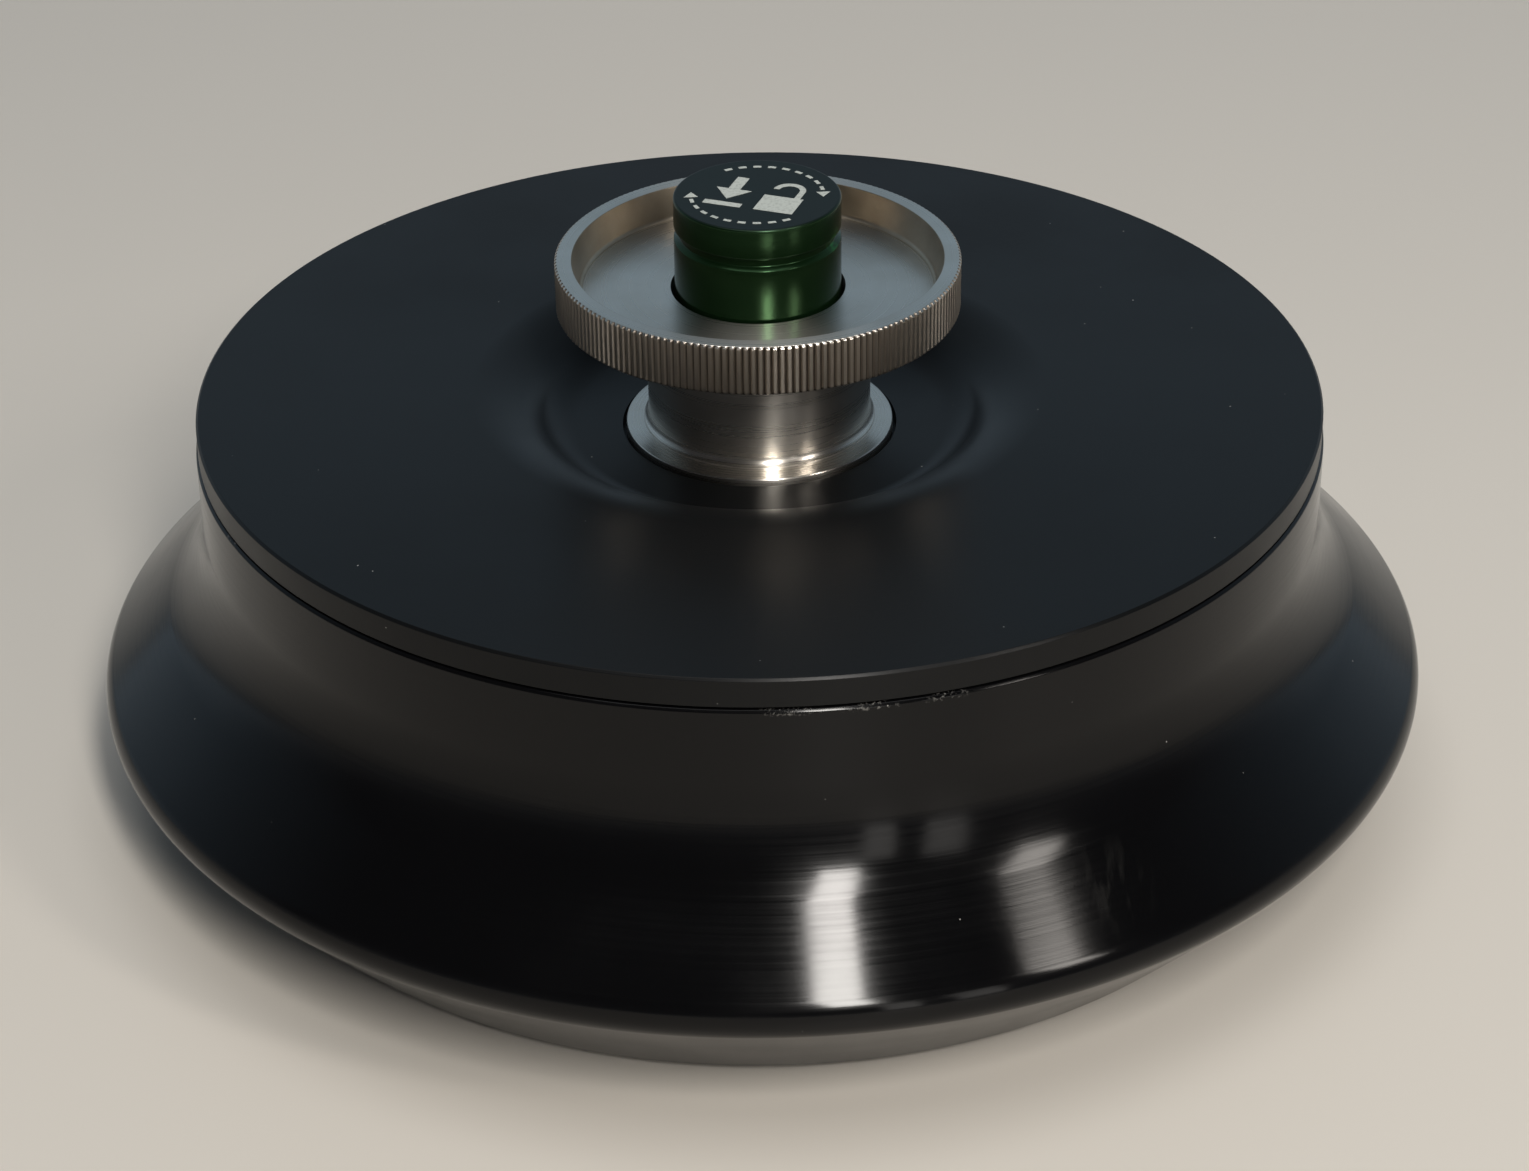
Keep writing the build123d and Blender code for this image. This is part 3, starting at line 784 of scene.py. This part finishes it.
# ------------------------------------------------------------ plunger bush, seal and spring
# Inside the stud, a sintered bronze bush guides the plunger and an O-ring keeps spills out.
# The music-wire spring stands on a steel seat and lifts the button, and shortens as it moves.
# Sintered bronze: brown-gold, matt and pitted with oil-filled pores.
bronze, tree = new_finish("sintered bronze, oil filled")
place = add_node(tree, "TexCoord", {})
pores = add_node(
    tree,
    "TexVoronoi",
    {"Vector": place.outputs["Object"], "Scale": 1 / (0.35 * MM)},
)
dark = add_node(
    tree,
    "Mix",
    {0: pores.outputs["Distance"], 6: linear("#5E4526"), 7: linear("#A07A45")},
    data_type="RGBA",
)
pits = add_node(
    tree,
    "Bump",
    {"Strength": 0.3, "Distance": 0.05 * MM, "Height": pores.outputs["Distance"]},
)
surface = add_node(
    tree,
    "BsdfPrincipled",
    {
        "Base Color": dark.outputs[2],
        "Metallic": 1.0,
        "Roughness": 0.48,
        "Normal": pits.outputs[0],
    },
)
add_node(tree, "OutputMaterial", {"Surface": surface.outputs[0]})
dress(["plunger_bush"], bronze)
dress(["plunger_seal"], nitrile)
dress(["spring_seat"], stainless)

coil_r, wire_r, seat_top, coil_top = 8.0, 0.7, 59.0, 83.5
closed_turn, closed_pitch, open_turns, coil_play = 1.0, 1.45, 3.5, 0.02
open_pitch = (coil_top - seat_top - 2 * wire_r - 2 * closed_turn * closed_pitch) / open_turns
wire_steps = 48

mesh = bmesh.new()
cut_end = Matrix.Translation((coil_r * MM, 0, (seat_top + wire_r + coil_play) * MM))
cut_end @= Matrix.Rotation(pi / 2, 4, "X")
bmesh.ops.create_circle(
    mesh, cap_ends=True, segments=14, radius=wire_r * MM, matrix=cut_end
)
end = mesh.edges[:]
for turns, pitch in (
    (closed_turn, closed_pitch),
    (open_turns, open_pitch),
    (closed_turn, closed_pitch - 0.03),
):
    wound = bmesh.ops.spin(
        mesh,
        geom=end,
        cent=(0, 0, 0),
        axis=(0, 0, 1),
        dvec=(0, 0, pitch * MM / wire_steps),
        angle=2 * pi * turns,
        steps=round(turns * wire_steps),
    )
    end = [g for g in wound["geom_last"] if isinstance(g, bmesh.types.BMEdge)]
bmesh.ops.contextual_create(mesh, geom=end)
bmesh.ops.remove_doubles(mesh, verts=mesh.verts[:], dist=1e-7)
bmesh.ops.recalc_face_normals(mesh, faces=mesh.faces[:])

# Drawn music wire, oiled: dark grey with long faint die marks and a slick of oil.
wire, tree = new_finish("spring steel, oiled")
place = add_node(tree, "TexCoord", {})
film = add_node(
    tree,
    "TexNoise",
    {"Vector": place.outputs["Object"], "Scale": 1 / (2.5 * MM), "Detail": 4.0},
)
tone = add_node(
    tree,
    "Mix",
    {0: film.outputs[0], 6: linear("#6B6660"), 7: linear("#8B8984")},
    data_type="RGBA",
)
slick = add_node(tree, "MapRange", {"Value": film.outputs[0], 1: 0.3, 2: 0.7, 3: 0.2, 4: 0.38})
surface = add_node(
    tree,
    "BsdfPrincipled",
    {"Base Color": tone.outputs[2], "Metallic": 1.0, "Roughness": slick.outputs[0]},
)
add_node(tree, "OutputMaterial", {"Surface": surface.outputs[0]})
spring = make_piece("coil_spring", mesh, "rotor", ["return_spring"], wire)
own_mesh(spring)

# ------------------------------------------------------------ plunger and its clip
# The button's plunger is a ground steel rod whose foot pushes the spindle's claws in. A clip
# sprung into its groove stops it at the chamber's ceiling. Both keep their CAD shapes.
dress(["plunger"], hard_steel)
dress(["plunger_clip"], wire)

# ------------------------------------------------------------ lid
# The lid is turned from aluminium plate, with a shallow well round the knob, then blasted
# finely and anodised black, which leaves it satin beside the glossy body.
lid_r, lid_top, lid_under = 93.0, 71.6, 66.2
plug_r, plug_inner_r, plug_bottom, plug_arc = 86.2, 81.2, 59.6, 2.5
lid_groove_r, lid_groove_bottom, lid_groove_top = 83.33, 61.55, 64.85
boss_r, boss_top, boss_bottom, flange_hole_r, washer_z = 26.0, 59.2, 56.0, 22.8, 62.5
sleeve_hole_r, knob_groove_r, knob_groove_bottom, knob_groove_top = 17.58, 19.87, 58.05, 60.45
well_r, well_top_r, well_z, well_arc, well_turn = 30.0, 45.0, 64.6, 9.786, 50.03
# The well's side is three arcs: up out of its floor, over, and a slow fade into the top.
foot_r, crown_arc, crown_turn = 30.7, 20.0, 25.0
slope, fade = radians(well_turn), radians(crown_turn)
foot_arc = (
    lid_top - well_z - crown_arc * (1 - cos(fade)) - well_arc * (cos(fade) - cos(slope))
) / (1 - cos(slope))
brow_r = foot_r + (foot_arc + well_arc) * sin(slope)
brow_z = well_z + foot_arc - (foot_arc + well_arc) * cos(slope)

mesh = bmesh.new()
draw_section(
    mesh,
    (flange_hole_r, well_z),
    [
        (foot_r, well_z),
        (foot_r, well_z + foot_arc, -well_turn),
        (brow_r, brow_z, well_turn - crown_turn),
        (brow_r + (crown_arc - well_arc) * sin(fade), lid_top - crown_arc, crown_turn),
        (lid_r - edge_break, lid_top),
        (lid_r, lid_top - edge_break),
        (lid_r, seat_z),
        (plug_r, seat_z),
        (plug_r, lid_groove_top),
        (lid_groove_r, lid_groove_top),
        (lid_groove_r, lid_groove_bottom),
        (plug_r, lid_groove_bottom),
        (plug_r, plug_bottom + edge_break),
        (plug_r - edge_break, plug_bottom),
        (plug_inner_r, plug_bottom),
        (plug_inner_r, lid_under - plug_arc),
        (plug_inner_r - plug_arc, lid_under - plug_arc, -90),
        (well_top_r, lid_under),
        (well_top_r, lid_under - well_arc, -well_turn),
        (well_r, boss_top + well_arc, well_turn),
        (boss_r, boss_top),
        (boss_r, boss_bottom),
        (sleeve_hole_r, boss_bottom),
        (sleeve_hole_r, knob_groove_bottom),
        (knob_groove_r, knob_groove_bottom),
        (knob_groove_r, knob_groove_top),
        (sleeve_hole_r, knob_groove_top),
        (sleeve_hole_r, washer_z),
        (flange_hole_r, washer_z),
    ],
    0.08,
)
turn_up(mesh, turning_steps)

# Blasted black anodising: a satin skin with a fine grit, faint rings of the cut below it, and
# a few pale specks of dust. The real cut is nearer 0.15 mm and the grit nearer 0.1 mm, both
# too fine to show, so they are drawn at 0.8 mm and 0.35 mm.
black_satin, tree = new_finish("anodised aluminium, fine blasted and dyed black")
place, _, lines = lathe_lines(tree, 0.8)
grit = add_node(tree, "TexNoise", {"Vector": place, "Scale": 1 / (0.35 * MM), "Detail": 2.0})
skin = add_node(tree, "Math", {0: grit.outputs[0], 1: lines}, operation="ADD")
pits = add_node(
    tree, "Bump", {"Strength": 0.08, "Distance": 0.05 * MM, "Height": skin.outputs[0]}
)
hands = add_node(tree, "TexNoise", {"Vector": place, "Scale": 1 / (22 * MM), "Detail": 5.0})
satin = add_node(
    tree, "MapRange", {"Value": hands.outputs[0], 1: 0.35, 2: 0.7, 3: 0.31, 4: 0.38}
)
dust = add_node(tree, "TexVoronoi", {"Vector": place, "Scale": 1 / (6 * MM)})
specks = add_node(
    tree, "MapRange", {"Value": dust.outputs["Distance"], 1: 0.026, 2: 0.014, 3: 0.0, 4: 0.7}
)
tone = add_node(
    tree,
    "Mix",
    {0: specks.outputs[0], 6: linear("#0A0B0C"), 7: linear("#A5A5A2")},
    data_type="RGBA",
)
round_axis = add_node(tree, "Tangent", {}, direction_type="RADIAL", axis="Z")
surface = add_node(
    tree,
    "BsdfPrincipled",
    {
        "Base Color": tone.outputs[2],
        "Roughness": satin.outputs[0],
        "Anisotropic": 0.6,
        "Anisotropic Rotation": 0.25,
        "Tangent": round_axis.outputs[0],
        "Normal": pits.outputs[0],
        "IOR": 1.5,
        "Specular IOR Level": 0.20,
    },
)
add_node(tree, "OutputMaterial", {"Surface": surface.outputs[0]})
make_piece("turned_lid", mesh, "lid_assembly", ["lid"], black_satin)

# ------------------------------------------------------------ lid seals and thrust washer
# O-rings seal the lid's plug to the bowl and the knob to the lid, and an acetal washer lets
# the knob turn freely under load. They keep their CAD shapes.
dress(["lid_seal", "knob_seal"], nitrile)

# Turned acetal: milky and waxy, slightly see-through at its edges. Its cut is drawn at
# 0.4 mm, coarser than the real one, so that it shows.
acetal, tree = new_finish("acetal, turned")
_, _, lines = lathe_lines(tree, 0.4)
tone = add_node(
    tree, "Mix", {0: lines, 6: linear("#D9D5C8"), 7: linear("#C9C4B5")}, data_type="RGBA"
)
surface = add_node(
    tree,
    "BsdfPrincipled",
    {"Base Color": tone.outputs[2], "Roughness": 0.38, "Subsurface Weight": 0.1},
)
add_node(tree, "OutputMaterial", {"Surface": surface.outputs[0]})
dress(["thrust_washer"], acetal)

# ------------------------------------------------------------ knob and its clip
# The knob is turned from stainless bar: a dish with a straight-knurled rim, a neck, and a
# stepped foot that bears on the lid. The knurl is pressed in by a toothed wheel.
knob_r, knob_top, knob_under, knob_edge = 33.2, 95.0, 86.6, 0.35
knurl_count, knurl_depth = 183, 0.45
dish_top_r, dish_floor_r, dish_floor_z, dish_arc, dish_turn = 30.4, 28.649, 89.7, 0.8, 78.27
button_hole_r, button_hole_bottom, thread_hole_r = 14.3, 86.2, 15.03
neck_r, neck_foot_z, neck_flare_r, neck_turn, neck_arc = 18.45, 67.5, 19.9517, 59.96, 0.8
step_r, step_z, step_edge_z = 19.2, 65.8, 65.47
foot_flange_r, foot_edge, foot_flange_top, foot_flange_bottom = 22.2, 0.15, 65.3, 63.3
sleeve_r, sleeve_bottom, clip_groove_r = 17.5, 53.0, 16.6
clip_groove_bottom, clip_groove_top = 54.7, 55.9

mesh = bmesh.new()
draw_section(
    mesh,
    (neck_r, neck_foot_z),
    [
        (neck_flare_r, neck_foot_z, -neck_turn),
        (step_r, step_z),
        (foot_flange_r - foot_edge, step_edge_z),
        (foot_flange_r, foot_flange_top),
        (foot_flange_r, foot_flange_bottom),
        (sleeve_r, foot_flange_bottom),
        (sleeve_r, clip_groove_top),
        (clip_groove_r, clip_groove_top),
        (clip_groove_r, clip_groove_bottom),
        (sleeve_r, clip_groove_bottom),
        (sleeve_r, sleeve_bottom + edge_break),
        (sleeve_r - edge_break, sleeve_bottom),
        (thread_hole_r, sleeve_bottom),
        (thread_hole_r, button_hole_bottom),
        (button_hole_r, button_hole_bottom),
        (button_hole_r, dish_floor_z),
        (dish_floor_r, dish_floor_z),
        (dish_floor_r, dish_floor_z + dish_arc, -dish_turn),
        (dish_top_r, knob_top),
        (knob_r - knob_edge, knob_top),
        (knob_r, knob_top - knob_edge),
        (knob_r, knob_under + knob_edge),
        (knob_r - knob_edge, knob_under),
        (neck_r + neck_arc, knob_under),
        (neck_r + neck_arc, knob_under - neck_arc, -90),
    ],
    0.08,
)
# One tooth runs from the bottom of a groove over the land to the bottom of the next.
tooth = 2 * pi / knurl_count
groove_half = 0.72 * knurl_depth / knob_r
ring = mesh.verts[:] + mesh.edges[:]
valleys = [ring]
for turn in (groove_half, tooth - 2 * groove_half, groove_half):
    spun = bmesh.ops.spin(mesh, geom=ring, cent=(0, 0, 0), axis=(0, 0, 1), angle=turn, steps=1)
    ring = spun["geom_last"]
    valleys.append(ring)
for ring in (valleys[0], valleys[-1]):
    for vert in (g for g in ring if isinstance(g, bmesh.types.BMVert)):
        reach = vert.co.xy.length
        if reach > (knob_r - knurl_depth) * MM:
            vert.co.xy *= (knob_r - knurl_depth) * MM / reach
repeat_round(mesh, knurl_count)
bmesh.ops.remove_doubles(mesh, verts=mesh.verts[:], dist=2e-6)
bmesh.ops.recalc_face_normals(mesh, faces=mesh.faces[:])
for face in mesh.faces:
    middle = face.calc_center_median()
    if middle.xy.length > (knob_r - knurl_depth - 0.1) * MM and abs(face.normal.z) < 0.5:
        face.material_index = 1
    elif (
        middle.z > dish_floor_z * MM + 1e-6
        and (dish_floor_r - 0.05) * MM < middle.xy.length < (dish_top_r + 0.1) * MM
    ):
        face.material_index = 2
knob = make_piece("knurled_knob", mesh, "knob_assembly", ["knob"], stainless)

# Pressed knurl: bright rubbed lands, and grooves darkened by painted shade, mottled with grime
# and cutting oil.
knurled, tree = new_finish("stainless steel, knurled")
place = add_node(tree, "TexCoord", {})
flat = add_node(
    tree, "VectorMath", {0: place.outputs["Object"], 1: (1, 1, 0)}, operation="MULTIPLY"
)
radius = add_node(tree, "VectorMath", {0: flat.outputs[0]}, operation="LENGTH")
land = add_node(
    tree,
    "MapRange",
    {
        "Value": radius.outputs["Value"],
        1: (knob_r - knurl_depth) * MM,
        2: (knob_r - 0.12) * MM,
        3: 0.0,
        4: 1.0,
    },
)
grime = add_node(
    tree,
    "TexNoise",
    {"Vector": place.outputs["Object"], "Scale": 1 / (2.0 * MM), "Detail": 4.0},
)
# Painted shade: the grooves get these dark colours by their depth, and grime noise mottles
# them.
groove_shade_and_grime = add_node(
    tree,
    "Mix",
    {0: grime.outputs[0], 6: linear("#1F1B18"), 7: linear("#5E564C")},
    data_type="RGBA",
)
tone = add_node(
    tree,
    "Mix",
    {0: land.outputs[0], 6: groove_shade_and_grime.outputs[2], 7: linear("#B9B0A5")},
    data_type="RGBA",
)
dull = add_node(tree, "MapRange", {"Value": land.outputs[0], 3: 0.6, 4: 0.3})
surface = add_node(
    tree,
    "BsdfPrincipled",
    {"Base Color": tone.outputs[2], "Metallic": 1.0, "Roughness": dull.outputs[0]},
)
add_node(tree, "OutputMaterial", {"Surface": surface.outputs[0]})
knob.data.materials.append(knurled)
# The dish's wall is painted a darker, warmer brown with streaks, a painted reflection.
# Painted reflection: the brown base and streak colours stand in for what the wall reflects.
dish_wall_painted_reflection = turned_metal("stainless steel, stained", "#BFB4A3", "#8C8170", 0.36, 0.3, 0.7)
knob.data.materials.append(dish_wall_painted_reflection)
dress(["knob_clip"], wire)

# ------------------------------------------------------------ button
# The button is turned from aluminium bar and anodised dark green. Its top is satin and
# carries laser marks that show which way it moves and that it opens the lock.
button_r, button_top, button_bottom, button_edge = 13.65, 105.86, 83.6, 0.45
groove_top, groove_bottom, groove_depth, groove_slope = 100.8, 98.6, 0.9, 0.5
plunger_hole_r, plunger_hole_top = 4.02, 93.6

mesh = bmesh.new()
draw_section(
    mesh,
    (0, button_top),
    [
        (button_r - button_edge, button_top),
        (button_r - button_edge, button_top - button_edge, 90),
        (button_r, groove_top),
        (button_r - groove_depth, groove_top - groove_slope),
        (button_r - groove_depth, groove_bottom + groove_slope),
        (button_r, groove_bottom),
        (button_r, button_bottom + button_edge),
        (button_r - button_edge, button_bottom),
        (plunger_hole_r, button_bottom),
        (plunger_hole_r, plunger_hole_top),
        (0, plunger_hole_top),
    ],
    0.12,
    close=False,
)
turn_up(mesh, 160)

# Green-dyed anodising: the metal's gloss shows through the dye, sharper on the turned side
# than on the satin top, and a nick in the groove's edge carries a painted glint of brighter
# green. The cut is drawn at 0.3 mm, coarser than the real one, so that it shows.
green, tree = new_finish("aluminium bar, turned and anodised green")
place, height, lines = lathe_lines(tree, 0.3)
chewed = add_node(tree, "TexNoise", {"Vector": place, "Scale": 1 / (0.7 * MM), "Detail": 3.0})
torn = add_node(
    tree, "MapRange", {"Value": chewed.outputs[0], 1: 0.40, 2: 0.52, 3: 0.0, 4: 1.0}
)
nick_glint = worn_spot(tree, place, torn.outputs[0], (12.6, -5.2, 100.2), 2.4)
on_top = add_node(
    tree,
    "MapRange",
    {
        "Value": height,
        1: (button_top - 0.3) * MM,
        2: (button_top - 0.02) * MM,
        3: 0.0,
        4: 1.0,
    },
)
dye = add_node(
    tree,
    "Mix",
    {0: on_top.outputs[0], 6: linear("#1B351C"), 7: linear("#17221F")},
    data_type="RGBA",
)
# Painted highlight: the nick's patch is coloured a brighter green, the glint it catches.
tone = add_node(
    tree, "Mix", {0: nick_glint, 6: dye.outputs[2], 7: linear("#2F7A3B")}, data_type="RGBA"
)
dull = add_node(tree, "MapRange", {"Value": on_top.outputs[0], 3: 0.2, 4: 0.42})
feed = add_node(tree, "Bump", {"Strength": 0.1, "Distance": 0.05 * MM, "Height": lines})
surface = add_node(
    tree,
    "BsdfPrincipled",
    {
        "Base Color": tone.outputs[2],
        "Metallic": 0.78,
        "Roughness": dull.outputs[0],
        "Normal": feed.outputs[0],
    },
)
add_node(tree, "OutputMaterial", {"Surface": surface.outputs[0]})
make_piece("push_button_cap", mesh, "push_button", ["button"], green)

# ------------------------------------------------------------ marks on the button
# Laser marks on the button's top: an arrow that presses down on a bar, an open padlock, and
# two arcs of dashes with arrowheads. Each is drawn as a thin sheet of the whitened film.
mark_thickness, mark_turn = 0.03, radians(-20)


def outline(mesh, corners):
    """A flat mark with the given corners in mm on the button's top."""
    verts = [mesh.verts.new((x * MM, y * MM, button_top * MM)) for x, y in corners]
    mesh.faces.new(verts)


def arc_band(mesh, centre, inner, outer, start, end):
    """Part of a flat ring about a centre, in mm, from one angle to another in degrees."""
    steps = max(2, ceil(abs(end - start) / 6))
    angles = [radians(start + (end - start) * i / steps) for i in range(steps + 1)]
    rim = [(centre[0] + outer * cos(a), centre[1] + outer * sin(a)) for a in angles]
    hole = [(centre[0] + inner * cos(a), centre[1] + inner * sin(a)) for a in angles]
    for i in range(steps):
        outline(mesh, (rim[i], rim[i + 1], hole[i + 1], hole[i]))


mesh = bmesh.new()
for start in (28, 208):
    for dash in range(9):
        arc_band(mesh, (0, 0), 10.45, 11.1, start + 13 * dash, start + 13 * dash + 7)
    tip, foot = radians(start - 14), radians(start - 4)
    outline(
        mesh,
        (
            (10.75 * cos(tip), 10.75 * sin(tip)),
            (11.9 * cos(foot), 11.9 * sin(foot)),
            (9.6 * cos(foot), 9.6 * sin(foot)),
        ),
    )
arrow = [(-5.2, 5.4), (-5.2, 0.8), (-7.2, 0.8), (-4.2, -3.0)]
outline(mesh, arrow + [(-1.2, 0.8), (-3.2, 0.8), (-3.2, 5.4)])
outline(mesh, ((-7.4, -4.2), (-7.4, -5.6), (-1.0, -5.6), (-1.0, -4.2)))
outline(mesh, ((1.2, 0.4), (1.2, -5.4), (7.8, -5.4), (7.8, 0.4)))
arc_band(mesh, (4.5, 3.0), 1.7, 2.7, 0, 180)
outline(mesh, ((6.2, 3.0), (6.2, 0.4), (7.2, 0.4), (7.2, 3.0)))
bmesh.ops.remove_doubles(mesh, verts=mesh.verts[:], dist=1e-7)
bmesh.ops.rotate(mesh, verts=mesh.verts[:], matrix=Matrix.Rotation(mark_turn, 3, "Z"))
raised = bmesh.ops.extrude_face_region(mesh, geom=mesh.faces[:])
top = [g for g in raised["geom"] if isinstance(g, bmesh.types.BMVert)]
bmesh.ops.translate(mesh, verts=top, vec=(0, 0, mark_thickness * MM))
bmesh.ops.recalc_face_normals(mesh, faces=mesh.faces[:])
mark_white = white_paint("anodic film, whitened by laser", "#B2B7B1")
make_piece("button_marks", mesh, "push_button", [], mark_white)
